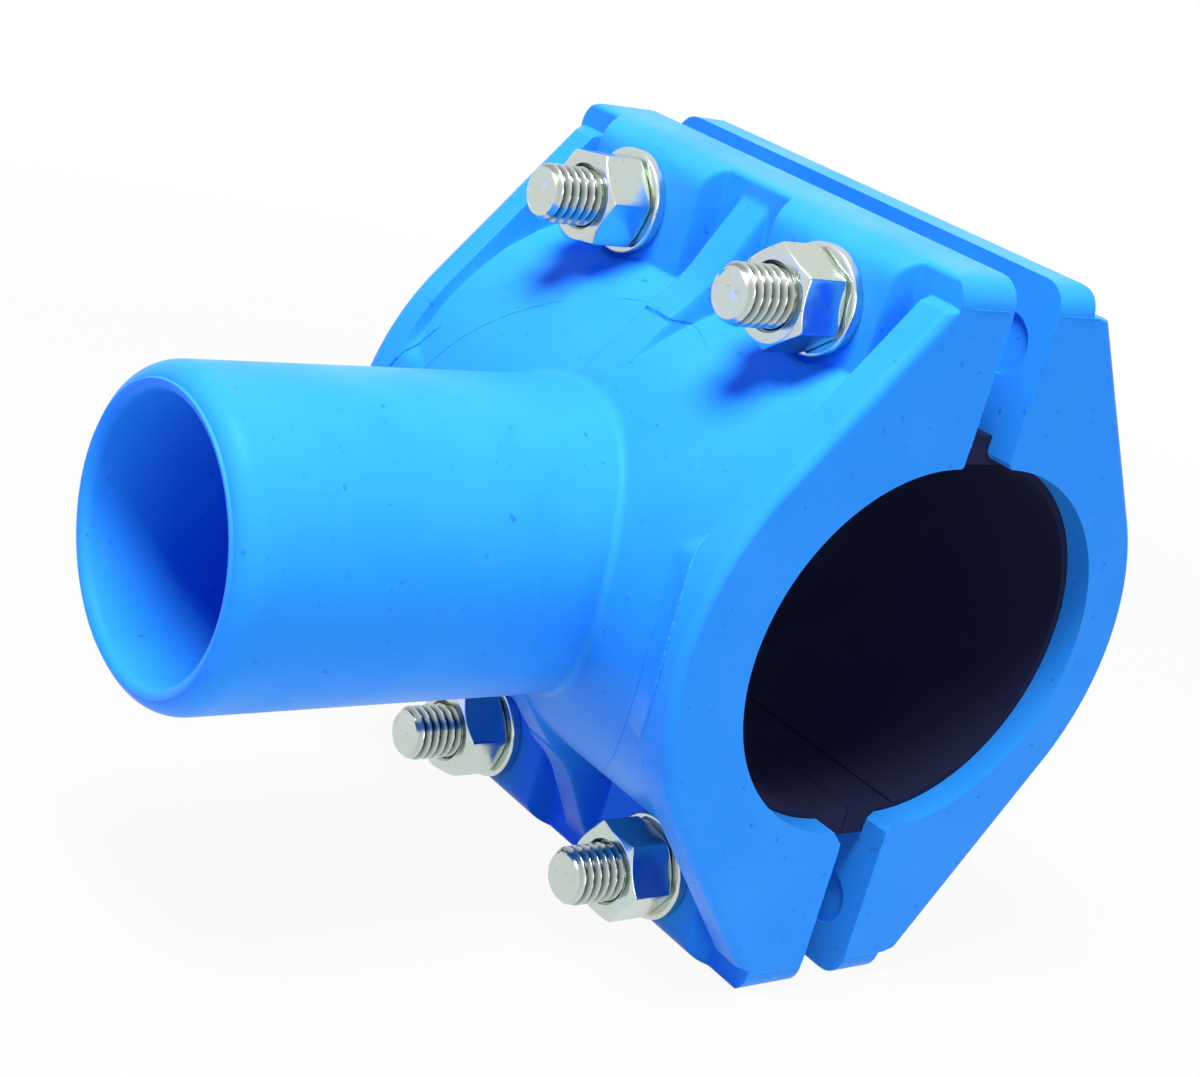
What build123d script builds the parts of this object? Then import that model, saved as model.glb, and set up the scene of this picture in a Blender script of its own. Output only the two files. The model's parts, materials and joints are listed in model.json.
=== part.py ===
from build123d import *
import math
import os

# Tapping saddle: two moulded shells clamped round a run pipe, with a plain spigot branch.
# X is the run pipe's axis, -Y the way the branch points, Z up. The origin is where the branch
# axis meets the bore axis of the spigot shell, whose split face is the plane Y = 0.

# ---------------------------------------------------------------- driving sizes (mm)
# Bore and shells
land_radius = 39.0            # bare plastic bore at both ends of a shell
land_width = 6.0              # how far the bare bore runs in from each end face
pocket_depth = 2.0            # how deep the rubber sits below the land
shell_half_length = 59.0      # middle of the saddle to an end face
shell_gap = 12.5              # between the two split faces as assembled
split_chamfer = 2.0           # where the spigot shell's bore meets its split face

# End plates, flanges and ribs, measured outward from the split face
plate_thickness = 9.0
flange_height = 75.6          # run axis to the top or bottom edge of a flange
flange_corner = 5.6           # rounded corners of a flange, seen along the branch
rib_half_width = 4.3
rib_flank_slope = 66.5        # degrees, flank to the rib's middle plane
rib_crest_round = 1.0
rib_foot = 4.6                # how far a flank runs out beside the crest

# Spigot shell
front_body_radius = 54.0
front_plate_radius = 56.3
front_plate_corner = 15.7     # depth of the flange at an end plate
front_flange = 14.4           # flange thickness between the pads
flange_crown = 12.0           # large round over the outer edge of the flange and its pads
flange_crown_start = 10.5     # depth at which that round begins
front_rib_top = 71.2
# bends of the rib's crest, as degrees from the split face and rise over the body
front_rib_bends = ((24.6, 5.16), (35.8, 2.95), (53.8, 0.88))

# Nut pads
pad_inner = 10.4              # foot of a pad, from the middle of the saddle
pad_end_inset = 12.4          # foot of a pad, from the end of the saddle
pad_rise = 4.6                # nut seat over the flange
pad_draft = 19.0              # degrees, on the sides of a pad
pad_crown_overlap = 1.5       # how far the flange's crown runs on past the nut seat
pad_foot_round = 2.0
pad_edge_round = 2.5

# Branch spigot
spigot_radius = 31.5
spigot_bore_radius = 26.3
spigot_reach = 132.5          # run axis to the mouth
mouth_round = 3.4
spigot_root_depth = 57.5      # from here in to the body the spigot flares slightly
spigot_root_draft = 2.5       # degrees

# Back shell
back_body_radius = 48.0
back_plate_radius = 50.2
back_plate_corner = 14.0
back_flange = 7.3
back_rib_top = 70.0
back_rib_bend_angle = 19.8    # degrees from the split face, where the crest turns round the body
back_rib_rise = 5.14          # crest over the body there
mark_radius = 6.2             # shallow round recesses in the back shell's split face
mark_depth = 1.2
mark_inset = 11.0             # from the end of the saddle
mark_z = 61.0

# Shell edges
plate_edge_round = 3.0

# Fasteners (12 mm)
bolt_radius = 6.0
bolt_length = 65.0            # under the head to the tip
bolt_tip_chamfer = 1.0
bolt_inset = 28.8             # bolt axis, from the end of the saddle
bolt_z = 61.0
bolt_hole_clearance = 0.75
hex_flats = 18.0
hex_face_radius = 8.6         # flat left on a hexagon's end by its chamfer
hex_chamfer_angle = 30.0
head_height = 7.5
head_angle = 15.0
nut_height = 10.0
nut_thread_clearance = 0.05
nut_angles = (9.0, 38.0, 10.0, 57.0)   # where each nut has stopped, degrees
nut_face_gap = 0.1            # running gap between a nut and its washer
washer_radius = 11.25
washer_hole_clearance = 0.6
washer_thickness = 2.0
seat_clearance = 0.5          # round a washer in its spot face

# Rubber
gasket_thickness = 3.4
gasket_seat_gap = 0.1         # round the rubber in its pocket
lip_height = 4.5              # how far a lip stands out past the land radius
lip_gap = 0.3                 # between the lips of the two gaskets
branch_hole_clearance = 1.0   # rubber's branch hole over the spigot bore, radial

# ---------------------------------------------------------------- sizes that follow
plate_corner_height = flange_height - flange_corner
plate_inner = shell_half_length - plate_thickness
pad_outer = shell_half_length - pad_end_inset
bolt_x = shell_half_length - bolt_inset
mark_x = shell_half_length - mark_inset
pocket_radius = land_radius + pocket_depth
pocket_half_length = shell_half_length - land_width
gasket_radius = pocket_radius - gasket_seat_gap
gasket_bore_radius = gasket_radius - gasket_thickness
gasket_half_length = pocket_half_length - gasket_seat_gap
lip_top = land_radius + lip_height
lip_reach = (shell_gap - lip_gap) / 2
bolt_hole_radius = bolt_radius + bolt_hole_clearance
nut_seat = front_flange + pad_rise
spot_radius = washer_radius + seat_clearance
bolt_places = ((-bolt_x, bolt_z), (bolt_x, bolt_z), (-bolt_x, -bolt_z), (bolt_x, -bolt_z))
head_seat = back_flange + washer_thickness
rib_drop = rib_foot * math.tan(math.radians(rib_flank_slope))   # fall of a rib's drafted flank
hex_corner_radius = hex_flats / 2 / math.cos(math.radians(30))
hex_relief = hex_flats / 6    # cuts the chamfer's cone clear of the corners
hex_relief_height = hex_relief * math.tan(math.radians(hex_chamfer_angle))
through = 2 * spigot_reach    # longer than anything it cuts

# Shell profiles: local x is depth outward from the split face, local y is height.
FRONT = Plane(origin=(0, 0, 0), x_dir=(0, -1, 0), z_dir=(-1, 0, 0))
BACK = Plane(origin=(0, shell_gap, 0), x_dir=(0, 1, 0), z_dir=(1, 0, 0))
# Shell faces seen from outside: local z is depth outward from the split face.
FRONT_FACE = Plane(origin=(0, 0, 0), x_dir=(1, 0, 0), z_dir=(0, -1, 0))
BACK_FACE = Plane(origin=(0, shell_gap, 0), x_dir=(-1, 0, 0), z_dir=(0, 1, 0))


def touch_point(radius, depth, height):
    """Returns where the tangent from a corner (depth, height) meets a circle round the origin."""
    angle = math.atan2(height, depth) - math.acos(radius / math.hypot(depth, height))
    return radius * math.cos(angle), radius * math.sin(angle)


def polar_point(radius, angle):
    """Returns the (depth, height) of a point at an angle in degrees from the split face."""
    return radius * math.sin(math.radians(angle)), radius * math.cos(math.radians(angle))


def is_at(value, target):
    """Tells whether a coordinate read back from the model is the one asked for."""
    return abs(value - target) < 0.1


def lies_on(edge, gap):
    """Tells whether gap(point) is nothing all along an edge."""
    return all(is_at(gap(edge.position_at(share)), 0) for share in (0.05, 0.5, 0.95))


def outline_edges(edges, split_y, corner_depth):
    """Returns the sloping and curved outer edges of two end plates."""
    return [
        edge
        for edge in edges
        if is_at(abs(edge.center().X), shell_half_length)
        and abs(edge.center().Y - split_y) > corner_depth
    ]


# ---------------------------------------------------------------- spigot shell
with BuildPart() as spigot_shell:
    # end plates, rounded along their outlines
    for side in (-1, 1):
        with BuildSketch(Plane((side * plate_inner, 0, 0), (0, -1, 0), (side, 0, 0))):
            touch = touch_point(front_plate_radius, front_plate_corner, plate_corner_height)
            with BuildLine():
                top = Polyline((0, 0), (0, plate_corner_height),
                               (front_plate_corner, plate_corner_height), touch)
                mirror(top, about=Plane.XZ)
                ThreePointArc(touch, (front_plate_radius, 0), (touch[0], -touch[1]))
            make_face()
        extrude(amount=plate_thickness)
    fillet(outline_edges(spigot_shell.edges(), 0, front_plate_corner), plate_edge_round)
    # central rib above and below, its flanks drafted
    front_rib_crest = [polar_point(front_body_radius + rise, angle) for angle, rise in front_rib_bends]
    last_bend = front_rib_crest[-1]
    for side in (-1, 1):
        with BuildSketch(Plane((side * rib_half_width, 0, 0), (0, -1, 0), (side, 0, 0))) as front_rib:
            with BuildLine():
                crest = Polyline((-2 * rib_drop, 0), (-2 * rib_drop, front_rib_top),
                                 (front_flange, front_rib_top), *front_rib_crest)
                mirror(crest, about=Plane.XZ)
                ThreePointArc(last_bend, (math.hypot(*last_bend), 0), (last_bend[0], -last_bend[1]))
            make_face()
        extrude(front_rib.sketch, amount=rib_foot, taper=rib_flank_slope)
        extrude(amount=-rib_half_width)
    # half-cylinder body between the end plates
    with BuildSketch(FRONT):
        Circle(front_body_radius)
    extrude(amount=shell_half_length - plate_thickness / 2, both=True)
    with BuildSketch(FRONT):
        Rectangle(through, through, align=(Align.MAX, Align.CENTER))
    extrude(amount=through, both=True, mode=Mode.SUBTRACT)
    # flange slab
    with BuildSketch(FRONT_FACE):
        RectangleRounded(2 * shell_half_length, 2 * flange_height, flange_corner)
    extrude(amount=front_flange)
    # raised pads that carry the nuts, drafted all round
    with BuildSketch(FRONT_FACE.offset(front_flange)):
        for side in (-1, 1):
            for up in (-1, 1):
                with Locations((side * (pad_inner + pad_outer) / 2,
                                up * (flange_height + land_radius) / 2)):
                    Rectangle(pad_outer - pad_inner, flange_height - land_radius)
    extrude(amount=pad_rise, taper=pad_draft)
    # large round over the outer edge of the flange and its pads
    with BuildSketch(FRONT):
        crown_end = nut_seat + pad_crown_overlap
        crown_drop = flange_crown - math.sqrt(flange_crown**2 - (crown_end - flange_crown_start) ** 2)
        for up in (-1, 1):
            with BuildLine():
                RadiusArc((flange_crown_start, up * flange_height),
                          (crown_end, up * (flange_height - crown_drop)), up * flange_crown)
                Polyline((crown_end, up * (flange_height - crown_drop)),
                         (crown_end, up * 2 * flange_height),
                         (flange_crown_start, up * 2 * flange_height),
                         (flange_crown_start, up * flange_height))
            make_face()
    extrude(amount=through, both=True, mode=Mode.SUBTRACT)
    # blends: down the sides of the pads, round the pads where they meet the body, then the rib's
    # crest and the outer edges of the pads
    fillet([edge for edge in spigot_shell.edges()
            if lies_on(edge, lambda point: point.Y + front_flange)
            and (is_at(abs(edge.center().X), pad_inner) or is_at(abs(edge.center().X), pad_outer))],
           pad_foot_round)
    fillet([edge for edge in spigot_shell.edges()
            if lies_on(edge, lambda point: point.Y + nut_seat) and edge.geom_type == GeomType.LINE
            and is_at(math.hypot(edge.center().Y, edge.center().Z), front_body_radius)],
           pad_foot_round)
    fillet([edge for edge in spigot_shell.edges()
            if lies_on(edge, lambda point: abs(point.X) - rib_half_width)
            and edge.geom_type == GeomType.LINE and edge.center().Y < -front_flange],
           rib_crest_round)
    fillet([edge for edge in spigot_shell.edges()
            if lies_on(edge, lambda point: point.Y + nut_seat) and abs(edge.tangent_at(0.5).X) > 0.9
            and abs(edge.center().Z) > bolt_z],
           pad_edge_round)
    # branch spigot, with a rounded mouth
    with BuildSketch(FRONT_FACE.offset(spigot_root_depth)):
        Circle(spigot_radius)
    extrude(amount=spigot_reach - spigot_root_depth)
    with BuildSketch(FRONT_FACE.offset(spigot_root_depth)):
        Circle(spigot_radius)
    extrude(amount=front_flange - spigot_root_depth, taper=-spigot_root_draft)
    mouth = spigot_shell.faces().sort_by(Axis.Y)[0]
    fillet(mouth.edges(), mouth_round)
    # nut seats, bolt holes, spigot bore
    with BuildSketch(FRONT_FACE.offset(nut_seat)):
        for x, z in bolt_places:
            with Locations((x, z)):
                Circle(spot_radius)
    extrude(amount=through, mode=Mode.SUBTRACT)
    with BuildSketch(FRONT_FACE):
        for x, z in bolt_places:
            with Locations((x, z)):
                Circle(bolt_hole_radius)
        Circle(spigot_bore_radius)
    extrude(amount=through, mode=Mode.SUBTRACT)
    # bore with a sunk seat for the rubber
    with BuildSketch(FRONT):
        Circle(land_radius)
    extrude(amount=through, both=True, mode=Mode.SUBTRACT)
    with BuildSketch(FRONT):
        Circle(pocket_radius)
    extrude(amount=pocket_half_length, both=True, mode=Mode.SUBTRACT)
    land_corners = [
        edge
        for edge in spigot_shell.edges()
        if is_at(edge.center().Y, 0) and is_at(abs(edge.center().Z), land_radius)
        and abs(edge.center().X) > pocket_half_length
    ]
    chamfer(land_corners, split_chamfer)
spigot_shell.part.label = "spigot_shell"

# ---------------------------------------------------------------- back shell
with BuildPart() as back_shell:
    # end plates, rounded along their outlines
    for side in (-1, 1):
        with BuildSketch(Plane((side * plate_inner, shell_gap, 0), (0, 1, 0), (side, 0, 0))):
            touch = touch_point(back_plate_radius, back_plate_corner, plate_corner_height)
            with BuildLine():
                top = Polyline((0, 0), (0, plate_corner_height),
                               (back_plate_corner, plate_corner_height), touch)
                mirror(top, about=Plane.XZ)
                ThreePointArc(touch, (back_plate_radius, 0), (touch[0], -touch[1]))
            make_face()
        extrude(amount=plate_thickness)
    fillet(outline_edges(back_shell.edges(), shell_gap, back_plate_corner), plate_edge_round)
    # central rib all round the back, its flanks drafted
    back_rib_radius = back_body_radius + back_rib_rise
    back_rib_bend = polar_point(back_rib_radius, back_rib_bend_angle)
    for side in (-1, 1):
        with BuildSketch(Plane((side * rib_half_width, shell_gap, 0), (0, 1, 0), (side, 0, 0))) as back_rib:
            with BuildLine():
                crest = Polyline((-2 * rib_drop, 0), (-2 * rib_drop, back_rib_top),
                                 (back_flange, back_rib_top), back_rib_bend)
                mirror(crest, about=Plane.XZ)
                ThreePointArc(back_rib_bend, (back_rib_radius, 0),
                              (back_rib_bend[0], -back_rib_bend[1]))
            make_face()
        extrude(back_rib.sketch, amount=rib_foot, taper=rib_flank_slope)
        extrude(amount=-rib_half_width)
    # half-cylinder body between the end plates
    with BuildSketch(BACK):
        Circle(back_body_radius)
    extrude(amount=shell_half_length - plate_thickness / 2, both=True)
    with BuildSketch(BACK):
        Rectangle(through, through, align=(Align.MAX, Align.CENTER))
    extrude(amount=through, both=True, mode=Mode.SUBTRACT)
    # flange slab with the bolt holes
    with BuildSketch(BACK_FACE):
        RectangleRounded(2 * shell_half_length, 2 * flange_height, flange_corner)
    extrude(amount=back_flange)
    with BuildSketch(BACK_FACE.offset(back_flange)):
        for x, z in bolt_places:
            with Locations((x, z)):
                Circle(spot_radius)
    extrude(amount=through, mode=Mode.SUBTRACT)
    with BuildSketch(BACK_FACE):
        for x, z in bolt_places:
            with Locations((x, z)):
                Circle(bolt_hole_radius)
    extrude(amount=through, mode=Mode.SUBTRACT)
    # shallow round recesses in the split face
    with BuildSketch(BACK_FACE):
        for side in (-1, 1):
            for up in (-1, 1):
                with Locations((side * mark_x, up * mark_z)):
                    Circle(mark_radius)
    extrude(amount=mark_depth, mode=Mode.SUBTRACT)
    # bore with a sunk seat for the rubber
    with BuildSketch(BACK):
        Circle(land_radius)
    extrude(amount=through, both=True, mode=Mode.SUBTRACT)
    with BuildSketch(BACK):
        Circle(pocket_radius)
    extrude(amount=pocket_half_length, both=True, mode=Mode.SUBTRACT)
back_shell.part.label = "back_shell"

# ---------------------------------------------------------------- rubber lining
with BuildPart() as front_gasket:
    # half sleeve with a lip standing in the split above and below
    with BuildSketch(FRONT):
        Circle(gasket_radius)
        Rectangle(through, through, align=(Align.MAX, Align.CENTER), mode=Mode.SUBTRACT)
        Rectangle(lip_reach, 2 * lip_top, align=(Align.MAX, Align.CENTER))
        Circle(gasket_bore_radius, mode=Mode.SUBTRACT)
        Rectangle(2 * lip_reach, 2 * gasket_bore_radius, mode=Mode.SUBTRACT)
    extrude(amount=gasket_half_length, both=True)
    with BuildSketch(FRONT_FACE):
        Circle(spigot_bore_radius + branch_hole_clearance)
    extrude(amount=through, mode=Mode.SUBTRACT)
front_gasket.part.label = "front_gasket"

with BuildPart() as back_gasket:
    with BuildSketch(BACK):
        Circle(gasket_radius)
        Rectangle(through, through, align=(Align.MAX, Align.CENTER), mode=Mode.SUBTRACT)
        Rectangle(lip_reach, 2 * lip_top, align=(Align.MAX, Align.CENTER))
        Circle(gasket_bore_radius, mode=Mode.SUBTRACT)
        Rectangle(2 * lip_reach, 2 * gasket_bore_radius, mode=Mode.SUBTRACT)
    extrude(amount=gasket_half_length, both=True)
back_gasket.part.label = "back_gasket"

os.makedirs("parts", exist_ok=True)
export_step(spigot_shell.part, "parts/spigot_shell.step")
export_step(back_shell.part, "parts/back_shell.step")
export_step(front_gasket.part, "parts/front_gasket.step")
export_step(back_gasket.part, "parts/back_gasket.step")

# ---------------------------------------------------------------- fasteners
for number, (x, z) in enumerate(bolt_places, start=1):
    # hexagon-head bolt, put in from behind
    with BuildPart() as bolt:
        with BuildSketch(Plane((x, shell_gap + head_seat, z), (1, 0, 0), (0, -1, 0))):
            Circle(bolt_radius)
        extrude(amount=bolt_length)
        tip = bolt.faces().sort_by(Axis.Y)[0]
        chamfer(tip.edges(), bolt_tip_chamfer)
        with BuildSketch(Plane((x, shell_gap + head_seat, z), (-1, 0, 0), (0, 1, 0))):
            RegularPolygon(hex_corner_radius, 6, rotation=head_angle)
        extrude(amount=head_height)
        with BuildSketch(Plane((x, shell_gap + head_seat, z), (1, 0, 0), (0, 0, 1))):
            with BuildLine():
                Polyline((0, -bolt_length), (hex_face_radius + hex_relief, -bolt_length),
                         (hex_face_radius + hex_relief, head_height - hex_relief_height),
                         (hex_face_radius, head_height), (0, head_height), close=True)
            make_face()
        revolve(axis=Axis((x, 0, z), (0, 1, 0)), mode=Mode.INTERSECT)
    bolt.part.label = f"bolt_{number}"
    export_step(bolt.part, f"parts/bolt_{number}.step")

    with BuildPart() as nut:
        nut_front = Plane((x, -nut_seat - washer_thickness - nut_face_gap, z), (1, 0, 0), (0, -1, 0))
        with BuildSketch(nut_front):
            RegularPolygon(hex_corner_radius, 6, rotation=nut_angles[number - 1])
            Circle(bolt_radius + nut_thread_clearance, mode=Mode.SUBTRACT)
        extrude(amount=nut_height)
        with BuildSketch(Plane(nut_front.origin, (1, 0, 0), (0, 0, -1))):
            with BuildLine():
                Polyline((0, 0), (hex_face_radius, 0),
                         (hex_face_radius + hex_relief, hex_relief_height),
                         (hex_face_radius + hex_relief, nut_height - hex_relief_height),
                         (hex_face_radius, nut_height), (0, nut_height), close=True)
            make_face()
        revolve(axis=Axis((x, 0, z), (0, 1, 0)), mode=Mode.INTERSECT)
    nut.part.label = f"nut_{number}"
    export_step(nut.part, f"parts/nut_{number}.step")

    with BuildPart() as front_washer:
        with BuildSketch(Plane((x, -nut_seat, z), (1, 0, 0), (0, -1, 0))):
            Circle(washer_radius)
            Circle(bolt_radius + washer_hole_clearance, mode=Mode.SUBTRACT)
        extrude(amount=washer_thickness)
    front_washer.part.label = f"front_washer_{number}"
    export_step(front_washer.part, f"parts/front_washer_{number}.step")

    with BuildPart() as back_washer:
        with BuildSketch(Plane((x, shell_gap + back_flange, z), (1, 0, 0), (0, 1, 0))):
            Circle(washer_radius)
            Circle(bolt_radius + washer_hole_clearance, mode=Mode.SUBTRACT)
        extrude(amount=washer_thickness)
    back_washer.part.label = f"back_washer_{number}"
    export_step(back_washer.part, f"parts/back_washer_{number}.step")
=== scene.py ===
"""Looks of a tapping saddle: two moulded shells, rubber lining, and zinc-plated bolts, nuts and washers.

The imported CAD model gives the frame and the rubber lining. The shells and the fasteners are rebuilt here
as smooth parametric surfaces and ride on the CAD's bodies. Lengths are in millimetres until a mesh is
made. The floor, the lights and the camera are in metres.
"""

import json
import logging
import math
from collections.abc import Callable, Sequence
from dataclasses import dataclass
from enum import Enum

import bpy
import numpy as np
from mathutils import Matrix, Vector

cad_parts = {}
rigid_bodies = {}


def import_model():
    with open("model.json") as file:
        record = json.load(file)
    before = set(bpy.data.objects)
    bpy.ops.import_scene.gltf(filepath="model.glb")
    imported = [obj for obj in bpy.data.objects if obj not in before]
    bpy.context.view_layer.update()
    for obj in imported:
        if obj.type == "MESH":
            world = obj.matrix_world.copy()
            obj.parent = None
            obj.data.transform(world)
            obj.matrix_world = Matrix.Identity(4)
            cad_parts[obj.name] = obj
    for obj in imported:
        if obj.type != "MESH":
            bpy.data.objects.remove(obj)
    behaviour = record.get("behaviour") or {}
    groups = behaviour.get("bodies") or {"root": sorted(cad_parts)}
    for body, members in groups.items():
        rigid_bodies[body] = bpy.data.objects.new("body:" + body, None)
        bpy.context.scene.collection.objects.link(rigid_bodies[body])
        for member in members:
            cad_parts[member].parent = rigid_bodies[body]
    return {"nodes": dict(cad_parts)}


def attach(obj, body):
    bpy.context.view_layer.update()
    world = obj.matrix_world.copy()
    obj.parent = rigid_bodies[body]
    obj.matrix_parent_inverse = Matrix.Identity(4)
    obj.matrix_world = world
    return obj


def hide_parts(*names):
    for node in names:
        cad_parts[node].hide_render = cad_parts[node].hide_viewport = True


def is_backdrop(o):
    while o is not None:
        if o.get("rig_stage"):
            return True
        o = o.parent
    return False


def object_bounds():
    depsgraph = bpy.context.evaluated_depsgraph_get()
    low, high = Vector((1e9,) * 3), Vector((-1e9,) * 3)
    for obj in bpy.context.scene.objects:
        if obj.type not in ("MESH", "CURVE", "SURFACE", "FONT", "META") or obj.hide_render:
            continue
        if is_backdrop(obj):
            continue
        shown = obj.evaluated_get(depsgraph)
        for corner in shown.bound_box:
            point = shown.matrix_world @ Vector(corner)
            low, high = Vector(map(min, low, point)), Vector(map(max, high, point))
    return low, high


LOG = logging.getLogger("tapping_saddle")

Array = np.ndarray
Faces = np.ndarray | list
Colour = tuple[float, float, float]
Pair = tuple[float, float]
Piece = bpy.types.Object
Tree = bpy.types.NodeTree
Node = bpy.types.Node
Socket = bpy.types.NodeSocket
Material = bpy.types.Material
DepthField = Callable[[Array, Array], Array]

MM = 0.001
BOLT_PLACES_MM = ((-30.2, 61.0), (30.2, 61.0), (-30.2, -61.0), (30.2, -61.0))
WHITE = (1.0, 1.0, 1.0)
OVERLAP_MM = 0.02  # how far joined solids run into each other
PAST_MM = 90.0  # past the outside of every part of a shell, along any axis
FAR_MM = 1e3  # a depth that no surface reaches


class Half(Enum):
    """Which shell of the saddle. The value is the way its depth grows along Y."""

    FRONT = -1
    BACK = 1


class Body(Enum):
    """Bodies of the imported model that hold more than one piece."""

    SPIGOT_HALF = "spigot_half"
    BACK_HALF = "back_half"


class Axis(Enum):
    """Which way a round cutter runs."""

    RUN = "X"
    BRANCH = "Y"


class Solid(Enum):
    """How a second solid changes a moulding."""

    CUT = "DIFFERENCE"
    JOIN = "UNION"


# ------------------------------------------------------------------------------------- surfaces


def smooth_max(first: Array, second: Array, reach: float) -> Array:
    """Blends two height fields with a fillet where they meet.

    max(a, b) + h^2 / (4 reach), with h = max(reach - |a - b|, 0).

    Args:
        first: Heights of one field.
        second: Heights of the other field.
        reach: Height difference over which the fillet acts.

    Returns:
        The blended heights.
    """
    gap = np.maximum(reach - np.abs(first - second), 0.0)
    return np.maximum(first, second) + gap**2 / (4.0 * reach)


def smooth_min(first: Array, second: Array, reach: float) -> Array:
    """Rounds off one height field by another: smooth_max of both turned upside down."""
    return -smooth_max(-first, -second, reach)


def smooth_step(value: Array) -> Array:
    """Eases from 0 to 1: t^2 (3 - 2 t) with t clipped to [0, 1]."""
    share = np.clip(value, 0.0, 1.0)
    return share**2 * (3.0 - 2.0 * share)


def full_turn(count: int) -> Array:
    """Gives angles in equal steps from 0 up to, but not at, 2 pi."""
    return np.linspace(0.0, 2.0 * math.pi, count, endpoint=False)


def turned(radius: Array, angle: Array, height: Array) -> Array:
    """Gives points (r cos t, r sin t, h) about Z, one row each."""
    radius, angle, height = np.broadcast_arrays(radius, angle, height)
    return np.stack([radius * np.cos(angle), radius * np.sin(angle), height], axis=-1).reshape(-1, 3)


def spread(half: float, count: int, places: Sequence[float], gain: float, width: float) -> Array:
    """Spaces samples from -half to half, closer together round some places on both sides.

    The samples are equal steps of the integral of 1 + gain * sum(exp(-((x - c) / width)^2)).

    Args:
        half: Distance from the middle to the last sample.
        count: How many samples.
        places: Distances from the middle to crowd the samples round.
        gain: How much denser they are there.
        width: How far the crowding reaches.

    Returns:
        The sample positions.
    """
    fine = np.linspace(-half, half, 8000)
    density = np.ones_like(fine)
    for centre in [sign * place for place in places for sign in (-1, 1)]:
        density += gain * np.exp(-(((fine - centre) / width) ** 2))
    total = np.concatenate([[0.0], np.cumsum((density[1:] + density[:-1]) / 2.0)])
    return np.interp(np.linspace(0.0, total[-1], count), total, fine)


def rounded(profile: Sequence[Pair], radii: Sequence[float], steps: int) -> list[Pair]:
    """Rounds the inner corners of a polyline.

    Each corner becomes p(s) = (1 - s) a(s) + s b(s), with a(s) running up one side to the corner and
    b(s) away from it along the other, each over radius * tan(turn / 2).

    Args:
        profile: Corner points.
        radii: Rounding at each inner corner.
        steps: Points per corner.

    Returns:
        The points of the rounded polyline.
    """
    corners = [np.array(point, dtype=float) for point in profile]
    out = [corners[0]]
    for before, corner, after, size in zip(corners, corners[1:], corners[2:], radii):
        into = (corner - before) / np.linalg.norm(corner - before)
        away = (after - corner) / np.linalg.norm(after - corner)
        turn = math.acos(float(np.clip(into @ away, -1.0, 1.0)))
        straight = 1e-3
        if turn < straight:
            out.append(corner)
            continue
        cut = size * math.tan(turn / 2.0)
        for share in np.linspace(0.0, 1.0, steps):
            first = corner - into * cut * (1.0 - share)
            second = corner + away * cut * share
            out.append(first * (1.0 - share) + second * share)
    out.append(corners[-1])
    return [tuple(point) for point in out]


# ------------------------------------------------------------------------------------- faces


def grid_faces(rows: int, columns: int, wrap: bool = False) -> Array:
    """Indexes the quads of a grid of vertices.

    Args:
        rows: Vertices down the grid.
        columns: Vertices across the grid.
        wrap: Whether the last column joins the first.

    Returns:
        An array of four vertex indices per quad.
    """
    index = np.arange(rows * columns).reshape(rows, columns)
    if wrap:
        index = np.hstack([index, index[:, :1]])
    corners = (index[:-1, :-1], index[1:, :-1], index[1:, 1:], index[:-1, 1:])
    return np.stack([corner.ravel() for corner in corners], axis=1)


def band(upper: Array, lower: Array) -> Array:
    """Joins two closed rings by quads: upper, lower, next lower, next upper."""
    return np.stack([upper, lower, np.roll(lower, -1), np.roll(upper, -1)], axis=1)


def fan(centre: int, ring: Array, forward: bool) -> Array:
    """Joins a closed ring to one vertex by triangles, wound forward or backward round it."""
    order = (ring, np.roll(ring, -1)) if forward else (np.roll(ring, -1), ring)
    return np.stack([np.full(len(ring), centre), *order], axis=1)


def outward(points: Array, faces: Array) -> Array:
    """Turns a closed surface's faces to point out, by the sign of the volume that they enclose.

    The volume is the sum of a . (b x c) + a . (c x d) over the quads a, b, c, d, up to a factor.

    Args:
        points: Vertices.
        faces: Quads, one row each.

    Returns:
        The faces, reversed if the volume came out negative.
    """
    a, b, c, d = (np.asarray(points)[np.asarray(faces)[:, corner]] for corner in range(4))
    volume = np.einsum("ij,ij->", a, np.cross(b, c)) + np.einsum("ij,ij->", a, np.cross(c, d))
    return faces if volume > 0.0 else faces[:, ::-1]


# ------------------------------------------------------------------------------------- meshes


def make_object(name: str, points: Array, faces: Faces, material: Material | None = None) -> Piece:
    """Makes a mesh object from whole arrays.

    Args:
        name: Name of the object.
        points: Vertices in metres, one row each.
        faces: Quads, or a list of faces of any size.
        material: Material for all its faces.

    Returns:
        The new object, linked to the scene.
    """
    mesh = bpy.data.meshes.new(name)
    mesh.from_pydata(np.asarray(points, dtype=float).tolist(), [], [list(map(int, face)) for face in faces])
    mesh.validate()
    mesh.shade_smooth()
    piece = bpy.data.objects.new(name, mesh)
    bpy.context.scene.collection.objects.link(piece)
    if material:
        mesh.materials.append(material)
    return piece


def lathe(profile: Sequence[Pair], turns: int) -> tuple[Array, list]:
    """Turns a profile about Z: (r cos t, r sin t, h) for each pair r, h.

    Args:
        profile: Pairs of radius and height, from one end on the axis to the other.
        turns: Samples round the axis.

    Returns:
        Vertices in millimetres and the faces of the closed surface.
    """
    radius, height = np.array(profile, dtype=float).T
    points = turned(radius[1:-1, None], full_turn(turns), height[1:-1, None])
    points = np.vstack([points, [0.0, 0.0, height[0]], [0.0, 0.0, height[-1]]])
    rings = len(height) - 2
    ring, first = np.arange(turns), rings * turns
    near = fan(first, ring, forward=False)
    far = fan(first + 1, ring + (rings - 1) * turns, forward=True)
    ends = np.stack([near, far], axis=1).reshape(-1, 3)
    return points, grid_faces(rings, turns, wrap=True)[:, ::-1].tolist() + ends.tolist()


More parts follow.
